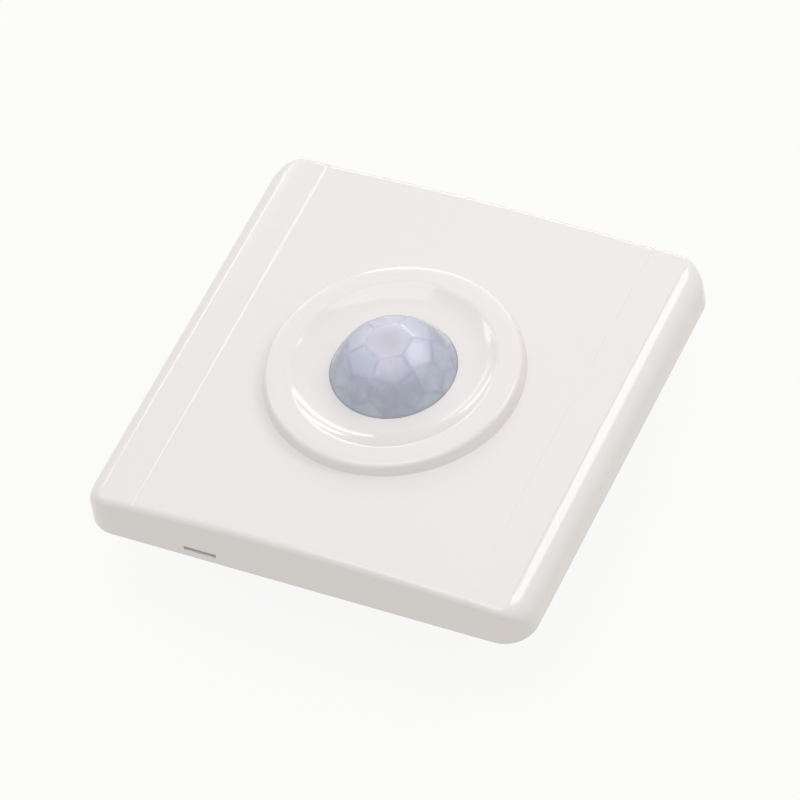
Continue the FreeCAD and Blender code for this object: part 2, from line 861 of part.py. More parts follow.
def pir_window():
    z1 = can_base_level() + can_base_height + can_height - can_wall
    return block(0, 0, window_x + 2.0 * window_margin, window_y + 2.0 * window_margin,
                 z1 - window_thickness, z1)


def pir_element():
    z0 = can_base_level() + element_height
    return block(0, 0, element_x, element_y, z0, z0 + element_plate)


# Adjusters
def trimmer_base(x):
    z0 = sensor_board_top
    z1 = z0 + trimmer_height
    body = block(x, trimmer_place_y, trimmer_side, trimmer_side, z0, z1)
    return body.cut(rod(x, trimmer_place_y, rotor_radius + rotor_gap, z1 - rotor_sink, z1))


def trimmer_rotor(x):
    z0 = sensor_board_top + trimmer_height - rotor_sink + rotor_gap
    z1 = sensor_board_top + trimmer_height + rotor_proud
    rotor = rod(x, trimmer_place_y, rotor_radius, z0, z1)
    slot = block(x, trimmer_place_y, rotor_slot_width, rotor_slot_length, z1 - rotor_slot_depth, z1)
    mark_y = trimmer_place_y + (rotor_slot_length - rotor_mark_length) / 2.0
    mark = block(x, mark_y, rotor_mark_width, rotor_mark_length, z1 - rotor_slot_depth, z1)
    return rotor.cut([slot, mark])


# Other pieces on the sensor board
def photocell():
    z0 = sensor_board_top + photocell_lift
    cell = rod(0, photocell_y, photocell_radius, z0, z0 + photocell_height)
    side = photocell_radius - photocell_flat
    for x in (-1, 1):
        cut = block(x * (side + cut_spare / 2.0), photocell_y, cut_spare, 2.0 * photocell_radius,
                    z0, z0 + photocell_height)
        cell = cell.cut(cut)
        cell = cell.fuse(rod(x * photocell_lead_pitch / 2.0, photocell_y, photocell_lead_radius,
                             sensor_board_top, z0))
    return cell.removeSplitter()


def control_chip():
    z0 = sensor_board_top + chip_lift
    body = block(0, chip_place_y, chip_x, chip_y, z0, z0 + chip_height)
    dimple = rod(chip_dimple_inset - chip_x / 2.0, chip_place_y - chip_y / 2.0 + chip_dimple_inset,
                 chip_dimple, z0 + chip_height - chip_pin_thickness, z0 + chip_height)
    return body.cut(dimple)


def control_chip_pins():
    pins = []
    knee = sensor_board_top + chip_lift + chip_height / 2.0
    for side in (-1, 1):
        face = chip_place_y + side * chip_y / 2.0
        for i in range(chip_pin_count):
            x = (i - (chip_pin_count - 1) / 2.0) * chip_pin_pitch
            shoulder = face + side * chip_pin_reach / 2.0
            foot = face + side * chip_pin_reach
            y0, y1 = sorted((face, shoulder))
            top = block(x, (y0 + y1) / 2.0, chip_pin_width, y1 - y0, knee, knee + chip_pin_thickness)
            y0, y1 = sorted((shoulder, shoulder - side * chip_pin_thickness))
            drop = block(x, (y0 + y1) / 2.0, chip_pin_width, y1 - y0, sensor_board_top,
                         knee + chip_pin_thickness)
            y0, y1 = sorted((shoulder - side * chip_pin_thickness, foot))
            toe = block(x, (y0 + y1) / 2.0, chip_pin_width, y1 - y0, sensor_board_top,
                        sensor_board_top + chip_pin_thickness)
            pins.append(top.fuse([drop, toe]).removeSplitter())
    return Part.makeCompound(pins)


def chip_resistors():
    pieces = []
    for side in (-1, 1):
        for column in range(resistor_columns):
            for row in range(resistor_rows):
                x = side * (resistor_field_x + (column - (resistor_columns - 1) / 2.0) * resistor_pitch_x)
                y = resistor_field_y + (row - (resistor_rows - 1) / 2.0) * resistor_pitch_y
                pieces.append(block(x, y, resistor_x, resistor_y, sensor_board_top,
                                    sensor_board_top + resistor_height))
    return Part.makeCompound(pieces)


def can_capacitor(x, y, radius, z0, z1, step):
    body = rod(x, y, radius, z0, z1)
    rim = max(body.Edges, key=lambda edge: step * edge.CenterOfMass.z)
    return body.makeFillet(edge_break, [rim])


def filter_capacitors():
    z0 = sensor_board_top
    return Part.makeCompound([
        can_capacitor(side * filter_place_x, filter_place_y, filter_radius, z0, z0 + filter_height, 1)
        for side in (-1, 1)])


# Link between the boards
def link_length():
    return link_pin_count * link_pitch


def link_socket():
    z0 = power_board_top
    body = block(0, link_y, link_length(), link_depth, z0, z0 + link_socket_height)
    hole = link_pin + 2.0 * link_pin_gap
    for x in link_places():
        body = body.cut(block(x, link_y, hole, hole, z0, z0 + link_socket_height))
    return body


def link_header():
    z1 = sensor_board_under
    body = block(0, link_y, link_length(), link_depth, z1 - link_header_height, z1)
    for x in link_places():
        body = body.cut(block(x, link_y, link_pin, link_pin, z1 - link_header_height, z1))
    return body


def link_pins():
    low = sensor_board_under - link_header_height - link_pin_down
    return Part.makeCompound([
        block(x, link_y, link_pin, link_pin, low, sensor_board_top + link_pin_up) for x in link_places()])


# Pieces under the power board
def hanging_block(place, size):
    body = block(place[0], place[1], size[0], size[1], power_board_under - size[2], power_board_under)
    uprights = [edge for edge in body.Edges if abs(edge.Vertexes[0].Z - edge.Vertexes[1].Z) > edge_break]
    return body.makeFillet(edge_break, uprights)


def big_capacitor():
    return can_capacitor(big_cap_place[0], big_cap_place[1], big_cap_radius,
                         power_board_under - big_cap_height, power_board_under, -1)


def varistor():
    x, y = varistor_place
    centre = power_board_under - varistor_lift - varistor_radius
    disc = Part.makeCylinder(varistor_radius, varistor_thickness,
                             V(x, y - varistor_thickness / 2.0, centre), Y_AXIS)
    for side in (-1, 1):
        disc = disc.fuse(rod(x + side * varistor_lead_pitch / 2.0, y, small_lead_radius, centre,
                             power_board_under))
    return disc.removeSplitter()


def fuse():
    return can_capacitor(fuse_place[0], fuse_place[1], fuse_radius, power_board_under - fuse_height,
                         power_board_under, -1)


def regulator():
    x, y = regulator_place
    top = power_board_under - regulator_lift
    body = rod(x, y, regulator_radius, top - regulator_height, top)
    flat = box(x - regulator_radius, x + regulator_radius, y + regulator_flat, y + regulator_radius,
               top - regulator_height, top)
    body = body.cut(flat)
    for i in (-1, 0, 1):
        body = body.fuse(rod(x + i * chip_pin_pitch, y, small_lead_radius, top, power_board_under))
    return body.removeSplitter()


def dropper_resistor():
    x, y = dropper_place
    level = power_board_under - dropper_lift - dropper_radius
    start = V(x - dropper_length / 2.0, y, level)
    body = Part.makeCylinder(dropper_radius, dropper_length, start, X_AXIS)
    body = body.makeFillet(edge_break, [edge for edge in body.Edges if edge.Closed])
    lead = 2.0 * small_lead_radius
    for side in (-1, 1):
        end = x + side * dropper_length / 2.0
        arm = block(end + side * lead, y, 2.0 * lead, lead, level - lead / 2.0, level + lead / 2.0)
        drop = block(end + 1.5 * side * lead, y, lead, lead, level - lead / 2.0, power_board_under)
        body = body.fuse(arm.fuse(drop))
    return body.removeSplitter()


def main():
    save("front_cover", front_cover())
    save("fresnel_lens", fresnel_lens())
    save("lens_retainer", lens_retainer())
    save("mounting_frame", mounting_frame())
    save("rear_housing", rear_housing())
    save("housing_screws", housing_screws())
    save("board_screws", board_screws())
    save("board_spacers", board_spacers())
    save("power_board", power_board())
    save("sensor_board", sensor_board())
    save("terminal_block", terminal_block())
    save("terminal_contacts", Part.makeCompound([terminal_contact(x) for x in poles]))
    for number, x in enumerate(poles, 1):
        save("terminal_screw_%d" % number, terminal_screw(x))
        save("terminal_cage_%d" % number, terminal_cage(x))
    save("pir_spacer", pir_spacer())
    save("pir_header", pir_header())
    save("pir_can", pir_can())
    save("pir_window", pir_window())
    save("pir_element", pir_element())
    for name, side in (("time", -1), ("lux", 1)):
        save(name + "_trimmer_base", trimmer_base(side * trimmer_place_x))
        save(name + "_trimmer_rotor", trimmer_rotor(side * trimmer_place_x))
    save("photocell", photocell())
    save("control_chip", control_chip())
    save("control_chip_pins", control_chip_pins())
    save("chip_resistors", chip_resistors())
    save("filter_capacitors", filter_capacitors())
    save("link_socket", link_socket())
    save("link_header", link_header())
    save("link_pins", link_pins())
    save("relay", hanging_block(relay_place, relay_size))
    save("film_capacitor", hanging_block(film_place, film_size))
    save("bridge_rectifier", hanging_block(bridge_place, bridge_size))
    save("big_capacitor", big_capacitor())
    save("varistor", varistor())
    save("fuse", fuse())
    save("regulator", regulator())
    save("dropper_resistor", dropper_resistor())


main()
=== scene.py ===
import math

import bpy
import numpy as np
from mathutils import Matrix, Vector
from mathutils.geometry import delaunay_2d_cdt


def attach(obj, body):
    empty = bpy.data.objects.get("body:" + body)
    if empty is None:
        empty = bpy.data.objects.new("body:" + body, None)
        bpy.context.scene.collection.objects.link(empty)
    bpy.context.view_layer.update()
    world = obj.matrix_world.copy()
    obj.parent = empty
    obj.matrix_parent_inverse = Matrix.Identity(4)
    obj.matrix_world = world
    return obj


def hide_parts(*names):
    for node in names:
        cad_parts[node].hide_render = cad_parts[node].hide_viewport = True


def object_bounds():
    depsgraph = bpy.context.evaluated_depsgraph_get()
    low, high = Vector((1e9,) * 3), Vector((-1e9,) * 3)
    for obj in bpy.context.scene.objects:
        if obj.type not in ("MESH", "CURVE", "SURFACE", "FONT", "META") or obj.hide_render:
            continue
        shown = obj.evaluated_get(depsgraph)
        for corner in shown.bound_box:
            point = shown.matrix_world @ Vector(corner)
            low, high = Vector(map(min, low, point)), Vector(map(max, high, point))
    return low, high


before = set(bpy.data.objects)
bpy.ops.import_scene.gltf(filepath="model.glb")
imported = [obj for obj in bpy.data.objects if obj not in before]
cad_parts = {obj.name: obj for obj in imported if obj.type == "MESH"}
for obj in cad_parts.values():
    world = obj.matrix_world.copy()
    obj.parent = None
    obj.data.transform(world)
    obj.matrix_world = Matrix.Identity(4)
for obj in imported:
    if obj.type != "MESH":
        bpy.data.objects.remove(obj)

MM = 0.001
cad_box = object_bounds()

# Front cover, in millimetres like all sizes here; heights count from the wall face
half_cover = 43.0
cover_corner = 5.9
cover_wall = 1.8
plate_top = 9.8
rim_level = 0.2
blank_top = plate_top + 1.0
skin_under = plate_top - 2.0
inner_draft = 1.0 / (plate_top - rim_level)
side_draft = 0.15
end_draft = 1.1
side_roll = 5.2
end_round = 1.2
roll_close = 0.24
rim_foot = 0.25
ceiling_round = 0.6
wall_middle = 4.0

# The arch across the cover, and the side strips that stand proud of the panel between them
panel_rise = 1.2
arch_reach = half_cover - side_roll
arch_radius = (arch_reach ** 2 + panel_rise ** 2) / (2.0 * panel_rise)
strip_radius = 80.0
step_place = 32.1
step_heights = (0.12, 0.36)
step_reach = half_cover + 1.0
step_lean = math.tan(math.radians(30.0))
step_soft = 0.012
panel_dip = 0.05

# Raised ring, its dish and the lens hole
ring_radius = 23.58
ring_lean = 0.5
ring_root = 0.8
ring_top = plate_top + 2.2
ring_edge = 0.9
ring_land = 3.05
ring_crown = 9.0
ring_crown_width = 1.5
dish_lip = 2.4
dish_slope = 25.0
dish_floor = 10.75
lens_gap = 0.05
hole_edge = 0.07

# Lens dome and its flange
lens_base_radius = 11.4
lens_height = 8.33
lens_radius = (lens_base_radius ** 2 + lens_height ** 2) / (2.0 * lens_height)
lens_centre = dish_floor + lens_height - lens_radius
lens_wall = 0.7
flange_top = 9.25
flange_under = 8.45
flange_radius = math.sqrt(lens_radius ** 2 - (flange_under - lens_centre) ** 2) + 2.4
flange_edge = 0.15
flange_bevel = 0.04
pocket_radius = flange_radius + 0.4
hole_low = math.sqrt(lens_radius ** 2 - (flange_top - lens_centre) ** 2) + lens_gap
hole_high = lens_base_radius + lens_gap

# Flats of the dome: rings of a count, a slope and a turn in degrees, round one flat at the top
facet_rings = ((6, 31.0, 0.0), (12, 53.0, 15.0), (12, 72.0, 0.0))
facet_spread = 11.5
centre_facet_spread = 17.5
facet_crown = 24.0
centre_facet_crown = 40.0
ridge_soft = 0.10
crease_width = 0.14
facet_fade = 1.6
lens_ring_pitch = 0.32
# Heights between which painted light brightens the lens from its low part to its top
painted_light_heights = (10.5, 18.5)
tint_seed = 2274

# Pry slot, heat stakes and clips of the cover
slot_x = (-22.55, -16.25)
slot_z = (1.79, 2.69)
stake_circle = 18.6
stake_boss_radius = 2.8
stake_boss_end = 7.35
stake_radius = 0.9
stake_head_level = 6.25
stake_head_radius = 1.5
stake_head_edge = 0.25
stake_head_round = 0.7
clip_spread = 19.4
clip_line = 36.4
clip_half_width = 3.0
clip_half_thickness = 0.6
clip_levels = (0.8, 7.6)

# How finely the cover and the dome are drawn
round_steps = 240
stake_steps = 48
dome_segments = 480
dome_rows = 110
inner_dome_rows = 24
roll_steps = 20
outer_foot_steps = 3
inner_foot_steps = 4
corner_steps = 28
ceiling_rings = 14


def add_object(name, data):
    made = bpy.data.objects.new(name, data)
    bpy.context.scene.collection.objects.link(made)
    return made


# Node tools
class Graph:
    """The node tree of a material or world, with short calls for the nodes that the looks share."""

    def __init__(self, owner, output="ShaderNodeOutputMaterial"):
        owner.use_nodes = True
        self.owner = owner
        self.tree = owner.node_tree
        self.tree.nodes.clear()
        self.output = self.tree.nodes.new(output)

    def put(self, socket, value):
        if isinstance(value, bpy.types.NodeSocket):
            self.tree.links.new(value, socket)
        else:
            socket.default_value = value

    def node(self, kind, settings=None, **inputs):
        made = self.tree.nodes.new(kind)
        for key, value in (settings or {}).items():
            setattr(made, key, value)
        for key, value in inputs.items():
            self.put(made.inputs[key.replace("_", " ")], value)
        return made

    def place(self):
        return self.node("ShaderNodeTexCoord").outputs["Object"]

    def axes(self, vector):
        return self.node("ShaderNodeSeparateXYZ", Vector=vector).outputs

    def stored(self, name):
        return self.node("ShaderNodeAttribute", {"attribute_name": name}).outputs["Fac"]

    def math(self, operation, first, second=0.0):
        made = self.node("ShaderNodeMath", {"operation": operation})
        self.put(made.inputs[0], first)
        self.put(made.inputs[1], second)
        return made.outputs[0]

    def noise(self, scale, detail=2.0, roughness=0.5, where=None):
        made = self.node("ShaderNodeTexNoise", Scale=scale, Detail=detail, Roughness=roughness,
                         Vector=where or self.place())
        return made.outputs["Fac"]

    def span(self, value, low, high, from_low=0.0, from_high=1.0):
        made = self.node("ShaderNodeMapRange", Value=value, From_Min=from_low, From_Max=from_high,
                         To_Min=low, To_Max=high)
        return made.outputs["Result"]

    def mix(self, amount, first, second):
        made = self.node("ShaderNodeMix", {"data_type": "RGBA"}, Factor=amount)
        for socket, colour in ((made.inputs[6], first), (made.inputs[7], second)):
            self.put(socket, colour if isinstance(colour, bpy.types.NodeSocket) else (*colour, 1.0))
        return made.outputs[2]

    def bump(self, height, depth):
        made = self.node("ShaderNodeBump", Strength=1.0, Distance=depth * MM, Height=height)
        return made.outputs["Normal"]

    def surface(self, source):
        self.put(self.output.inputs["Surface"], source)

    def finish(self, **inputs):
        self.surface(self.node("ShaderNodeBsdfPrincipled", **inputs).outputs["BSDF"])
        return self.owner

    def blend_shaders(self, amount, first, second):
        made = self.node("ShaderNodeMixShader")
        for socket, source in zip(made.inputs, (amount, first.outputs[0], second.outputs[0])):
            self.put(socket, source)
        self.surface(made.outputs[0])
        return self.owner


def new_material(name):
    return Graph(bpy.data.materials.new(name))


def shade(colour, amount):
    return tuple(max(0.0, min(1.0, channel * amount)) for channel in colour)


# Finishes
def plastic(name, colour, rough, grain, depth, coat=0.0, mottle=0.03, drift_scale=60.0):
    """Moulded plastic: slow colour drift, faint flow marks and a fine moulded grain."""
    g = new_material(name)
    drift = g.noise(drift_scale, 3.0)
    flecks = g.noise(grain * 0.6, 2.0, 0.6)
    base = g.mix(drift, shade(colour, 1.0 - mottle), shade(colour, 1.0 + mottle))
    base = g.mix(g.span(flecks, 0.0, 0.12), base, shade(colour, 0.9))
    return g.finish(Base_Color=base,
                    Roughness=g.span(g.noise(drift_scale * 4.0, 2.0), rough * 0.85, rough * 1.15),
                    Coat_Weight=coat, Coat_Roughness=0.06,
                    Normal=g.bump(g.noise(grain, 2.0, 0.6), depth))


def metal(name, colour, rough, stretch, tarnish=0.12):
    """Plated metal with drawn lines and small stains."""
    g = new_material(name)
    lines = g.node("ShaderNodeMapping", Vector=g.place(), Scale=stretch).outputs["Vector"]
    drawn = g.noise(900.0, 3.0, 0.6, lines)
    stain = g.noise(420.0, 4.0, 0.65)
    base = g.mix(g.span(stain, 0.0, 1.0, 0.42, 0.7), colour, shade(colour, 1.0 - 2.0 * tarnish))
    return g.finish(Base_Color=base, Metallic=1.0, Roughness=g.span(drawn, rough * 0.75, rough * 1.35),
                    Normal=g.bump(drawn, 0.004))


def lens_plastic():
    """Milky lens plastic, clouded, with fine rings in each flat; painted light makes it lighter towards
    the top and darker and bluer low down, and painted shade darkens its creases.
    """
    g = new_material("lens_plastic")
    flat_place = g.node("ShaderNodeUVMap", {"uv_map": "facet"}).outputs["UV"]
    across = g.node("ShaderNodeVectorMath", {"operation": "LENGTH"})
    g.put(across.inputs[0], flat_place)
    rings = g.math("SINE", g.math("MULTIPLY", across.outputs["Value"], 2.0 * math.pi / lens_ring_pitch))
    low, high = painted_light_heights
    # Painted light: the lens is drawn darker and bluer low down, and lighter and more lavender towards
    # the top
    rise = g.span(g.axes(g.place())["Z"], 0.0, 1.0, low * MM, high * MM)
    tint = g.stored("tint")
    cloud = g.noise(260.0, 3.0, 0.6)
    base = g.mix(g.span(rise, 0.0, 1.0, 0.1, 0.55), (0.40, 0.44, 0.49), (0.40, 0.42, 0.51))
    base = g.mix(g.span(rise, 0.0, 1.0, 0.55, 1.0), base, (0.66, 0.63, 0.77))
    base = g.mix(g.span(tint, 0.4, 0.0, 0.0, 0.5), base, (0.50, 0.56, 0.66))
    base = g.mix(g.span(tint, 0.0, 0.4, 0.6, 1.0), base, (0.38, 0.36, 0.46))
    base = g.mix(g.span(cloud, 0.0, 0.4, 0.45, 0.75), base, (0.66, 0.68, 0.78))
    # Painted shade: a darker colour along the creases between the flats
    painted_crease_shade = g.math("MULTIPLY", g.stored("crease"), g.span(g.noise(330.0, 2.0), 0.1, 0.6, 0.35, 0.65))
    base = g.mix(painted_crease_shade, base, (0.33, 0.35, 0.50))
    return g.finish(Base_Color=base, Roughness=g.span(g.noise(700.0, 2.0), 0.08, 0.14),
                    Subsurface_Weight=0.35, Subsurface_Radius=(1.0, 1.0, 1.2), Subsurface_Scale=0.0015,
                    IOR=1.51, Coat_Weight=0.2, Coat_Roughness=0.05, Normal=g.bump(rings, 0.004))


def board_laminate():
    """Solder mask over copper runs, with the weave of the laminate showing faintly."""
    g = new_material("board_laminate")
    where = g.place()
    cells = g.node("ShaderNodeTexVoronoi", {"distance": "MANHATTAN", "feature": "F1"}, Scale=420.0,
                   Vector=where)
    bricks = g.node("ShaderNodeTexBrick", Scale=150.0, Vector=where, Mortar_Size=0.035)
    runs = g.math("LESS_THAN", cells.outputs["Distance"], 0.42)
    weave = g.node("ShaderNodeTexWave", Scale=1500.0, Vector=where)
    base = g.mix(runs, (0.035, 0.19, 0.085), (0.06, 0.27, 0.12))
    base = g.mix(bricks.outputs["Fac"], base, (0.03, 0.15, 0.07))
    base = g.mix(g.math("MULTIPLY", weave.outputs["Fac"], 0.12), base, (0.09, 0.30, 0.13))
    return g.finish(Base_Color=base, Roughness=g.span(g.noise(600.0), 0.22, 0.34),
                    Normal=g.bump(runs, 0.03))


def dropper_coat():
    """Dropper resistor: a matt coat with four bands along X."""
    g = new_material("dropper_coat")
    x = g.axes(g.place())["X"]
    band_width = 0.8
    bands = ((-13.9, (0.45, 0.20, 0.05)), (-12.3, (0.03, 0.03, 0.03)), (-10.7, (0.7, 0.28, 0.03)),
             (-8.7, (0.62, 0.50, 0.16)))
    base = g.mix(g.noise(700.0), (0.38, 0.58, 0.56), (0.46, 0.66, 0.63))
    for start, colour in bands:
        after = g.math("GREATER_THAN", x, start * MM)
        before = g.math("LESS_THAN", x, (start + band_width) * MM)
        base = g.mix(g.math("MULTIPLY", after, before), base, colour)
    return g.finish(Base_Color=base, Roughness=0.55, Normal=g.bump(g.noise(1500.0), 0.02))


def photocell_face():
    """Coated ceramic disc with the meandering track that such cells have."""
    g = new_material("photocell_face")
    where = g.axes(g.place())
    track_pitch, track_reach, face_level = 0.9, 1.7, 3.85
    wave = g.math("SINE", g.math("MULTIPLY", where["Y"], 2.0 * math.pi / (track_pitch * MM)))
    track = g.math("LESS_THAN", g.math("ABSOLUTE", wave), 0.45)
    inner = g.math("LESS_THAN", g.math("ABSOLUTE", where["X"]), track_reach * MM)
    top = g.math("GREATER_THAN", where["Z"], face_level * MM)
    drawn = g.math("MULTIPLY", g.math("MULTIPLY", track, inner), top)
    base = g.mix(g.noise(500.0), (0.72, 0.68, 0.60), (0.80, 0.76, 0.68))
    base = g.mix(drawn, base, (0.55, 0.12, 0.05))
    return g.finish(Base_Color=base, Roughness=g.span(g.noise(800.0), 0.16, 0.28), Coat_Weight=0.6,
                    Normal=g.bump(drawn, 0.02))


def filter_glass():
    """Nearly black window over the sensing element."""
    g = new_material("filter_glass")
    base = g.mix(g.noise(500.0), (0.035, 0.03, 0.05), (0.06, 0.05, 0.09))
    return g.finish(Base_Color=base, Roughness=g.span(g.noise(900.0), 0.05, 0.1), Coat_Weight=0.5,
                    Normal=g.bump(g.noise(700.0), 0.002))


# Colour, roughness, grain scale, grain depth and, where they differ, coat, mottle and drift scale
plastics = {
    "cover_plastic": ((0.81, 0.775, 0.757), 0.12, 1400.0, 0.0008, 0.3, 0.012, 45.0),
    "inner_plastic": ((0.74, 0.73, 0.71), 0.42, 1200.0, 0.006),
    "frame_plastic": ((0.72, 0.71, 0.69), 0.45, 1200.0, 0.008),
    "housing_plastic": ((0.70, 0.69, 0.67), 0.48, 1000.0, 0.012),
    "nylon": ((0.76, 0.75, 0.70), 0.4, 1500.0, 0.006),
    "terminal_plastic": ((0.10, 0.33, 0.16), 0.35, 1300.0, 0.008),
    "black_plastic": ((0.025, 0.025, 0.027), 0.45, 1600.0, 0.012),
    "element_ceramic": ((0.82, 0.81, 0.77), 0.6, 2000.0, 0.01),
    "trimmer_blue": ((0.04, 0.15, 0.47), 0.3, 1500.0, 0.006),
    "trimmer_white": ((0.82, 0.82, 0.80), 0.34, 1500.0, 0.006),
    "resistor_body": ((0.03, 0.03, 0.035), 0.3, 2000.0, 0.006),
    "capacitor_sleeve": ((0.04, 0.05, 0.11), 0.25, 1400.0, 0.006, 0.3),
    "relay_plastic": ((0.05, 0.15, 0.35), 0.4, 1400.0, 0.01),
    "film_yellow": ((0.78, 0.60, 0.08), 0.32, 1400.0, 0.008),
    "varistor_coat": ((0.05, 0.19, 0.42), 0.28, 800.0, 0.03, 0.2),
    "fuse_plastic": ((0.24, 0.06, 0.045), 0.4, 1400.0, 0.01),
}
# Colour, roughness and how far the drawn lines are stretched along each axis
metals = {
    "plated_steel": ((0.62, 0.62, 0.62), 0.30, (1.0, 1.0, 0.2)),
    "nickel_steel": ((0.66, 0.64, 0.60), 0.26, (1.0, 1.0, 0.1)),
    "tinned_brass": ((0.74, 0.72, 0.64), 0.22, (1.0, 6.0, 1.0)),
    "can_metal": ((0.72, 0.68, 0.60), 0.24, (1.0, 1.0, 0.15)),
}
finishes = {name: plastic(name, *look) for name, look in plastics.items()}
finishes.update({name: metal(name, *look) for name, look in metals.items()})
finishes.update({
    "lens_plastic": lens_plastic(), "board_laminate": board_laminate(), "dropper_coat": dropper_coat(),
    "photocell_face": photocell_face(), "filter_glass": filter_glass(),
})


# Lens dome, drawn as flats with softly crowned faces and rounded ridges
def facet_planes():
    """The flats' normals, and their distances from the dome's centre."""
    normals = [(0.0, 0.0, 1.0)]
    depths = [lens_radius * math.cos(math.radians(centre_facet_spread))]
    for count, slope, turn in facet_rings:
        for i in range(count):
            a = math.radians(turn + 360.0 * i / count)
            p = math.radians(slope)
            normals.append((math.sin(p) * math.cos(a), math.sin(p) * math.sin(a), math.cos(p)))
            depths.append(lens_radius * math.cos(math.radians(facet_spread)))
    return np.array(normals), np.array(depths)


def crowned_distance(ways, normals, depths, crown):
    """How far each way goes before it meets each flat, a flat being a large ball's cap."""
    centre = depths - crown
    along = ways @ normals.T * centre
    return along + np.sqrt(along ** 2 - centre ** 2 + crown ** 2)


def around():
    return np.arange(dome_segments) * 2.0 * math.pi / dome_segments


def dome_ways():
    """Directions from the dome's centre: the top, then rings down to the flange."""
    end_slope = math.acos((flange_top - lens_centre) / lens_radius)
    slope = np.linspace(0.0, end_slope, dome_rows + 1)[1:]
    rings = np.stack([np.outer(np.sin(slope), np.cos(around())),
                      np.outer(np.sin(slope), np.sin(around())),
                      np.outer(np.cos(slope), np.ones(dome_segments))], -1)
    return np.concatenate([[[0.0, 0.0, 1.0]], rings.reshape(-1, 3)])


def dome_surface():
    """The dome's points, with each point's place on its flat, crease and tint."""
    normals, depths = facet_planes()
    ways = dome_ways()
    crown = np.where(np.arange(len(depths)) == 0, centre_facet_crown, facet_crown)
    reach = crowned_distance(ways, normals, depths, crown)
    near = np.argmin(reach, 1)
    order = np.sort(reach, 1)
    gap = order[:, 1] - order[:, 0]
    distance = order[:, 0] - ridge_soft * np.log1p(np.exp(-gap / ridge_soft))
    above_dish = ways[:, 2] * lens_radius - (dish_floor - lens_centre)
    share = np.clip(above_dish / facet_fade, 0.0, 1.0)
    sunk = np.minimum(distance, lens_radius) - lens_radius
    distance = lens_radius + sunk * share * share * (3.0 - 2.0 * share)
    from_centre = ways * distance[:, None]
    # Nearness to a crease, where the lens finish paints shade
    crease = np.clip(1.0 - gap / crease_width, 0.0, 1.0)
    tint = np.random.default_rng(tint_seed).random(len(depths))[near]
    side = np.cross(np.tile([0.0, 0.0, 1.0], (len(depths), 1)), normals)
    side[0] = (1.0, 0.0, 0.0)
    side /= np.linalg.norm(side, axis=1)[:, None]
    rise = np.cross(normals, side)
    u = np.einsum("ij,ij->i", from_centre, side[near])
    v = np.einsum("ij,ij->i", from_centre, rise[near])
    return from_centre + [0.0, 0.0, lens_centre], np.stack([u, v, crease, tint], -1)


def flange_and_inside():
    """Radii and heights round the flange and up the inside, and the level of the inside's top."""
    profile = []
    for level, way in ((flange_top, -1.0), (flange_under, 1.0)):
        corner = [(flange_radius - flange_edge, level),
                  (flange_radius - flange_bevel, level + way * flange_bevel),
                  (flange_radius, level + way * flange_edge)]
        profile += corner if way < 0.0 else corner[::-1]
    inner_radius = lens_radius - lens_wall
    inner_end = math.acos((flange_under - lens_centre) / inner_radius)
    for i in range(inner_dome_rows):
        p = inner_end * (1.0 - i / inner_dome_rows)
        profile.append((inner_radius * math.sin(p), lens_centre + inner_radius * math.cos(p)))
    return profile, lens_centre + inner_radius


def build_lens():
    points, looks = dome_surface()
    points, looks = [tuple(p * MM) for p in points], [tuple(row) for row in looks]
    away_from_flats = (20.0, 20.0, 0.0, 0.5)
    neighbours = [(j, (j + 1) % dome_segments) for j in range(dome_segments)]
    faces = [(0, 1 + j, 1 + k) for j, k in neighbours]
    for i in range(dome_rows - 1):
        upper, lower = 1 + i * dome_segments, 1 + (i + 1) * dome_segments
        faces += [(upper + j, lower + j, lower + k, upper + k) for j, k in neighbours]
    last = 1 + (dome_rows - 1) * dome_segments
    profile, inner_top = flange_and_inside()
    for r, z in profile:
        start = len(points)
        points += [(r * math.cos(a) * MM, r * math.sin(a) * MM, z * MM) for a in around()]
        looks += [away_from_flats] * dome_segments
        faces += [(last + j, start + j, start + k, last + k) for j, k in neighbours]
        last = start
    tip = len(points)
    points.append((0.0, 0.0, inner_top * MM))
    looks.append(away_from_flats)
    faces += [(last + j, tip, last + k) for j, k in neighbours]

    mesh = bpy.data.meshes.new("lens_dome")
    mesh.from_pydata(points, [], faces)
    mesh.update()
    table = np.array(looks, np.float32)
    corner_point = np.zeros(len(mesh.loops), np.int32)
    mesh.loops.foreach_get("vertex_index", corner_point)
    mesh.uv_layers.new(name="facet").data.foreach_set("uv", table[corner_point, :2].ravel())
    for name, column in (("crease", 2), ("tint", 3)):
        attribute = mesh.attributes.new(name, "FLOAT", "POINT")
        attribute.data.foreach_set("value", table[:, column].copy())
    mesh.polygons.foreach_set("use_smooth", np.ones(len(mesh.polygons), bool))
    mesh.materials.append(finishes["lens_plastic"])
    return add_object("lens_dome", mesh)


lens = build_lens()
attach(lens, "cover")
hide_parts("fresnel_lens")


# Front cover, drawn with even shading: top, rolled rim, ring with its dish, and the underside
def arch_height(x, crown):
    return crown - arch_radius + math.sqrt(arch_radius ** 2 - x * x)


strip_slope = math.asin(step_place / arch_radius)
strip_x = step_place - strip_radius * math.sin(strip_slope)
strip_z = arch_height(step_place, plate_top) - strip_radius * math.cos(strip_slope)


def plain_top(x):
    """Height and slope of the top at x, with the panel as high as the strips."""
    side = abs(x)
    if side < step_place:
        rise = math.sqrt(arch_radius ** 2 - side * side)
        height, slope = plate_top - arch_radius + rise, -side / rise
    else:
        rise = math.sqrt(strip_radius ** 2 - (side - strip_x) ** 2)
        height, slope = strip_z + rise, -(side - strip_x) / rise
    return height, math.copysign(1.0, x) * slope


def soft_max(a, b):
    return max(a, b) + step_soft * math.log1p(math.exp(-abs(a - b) / step_soft))


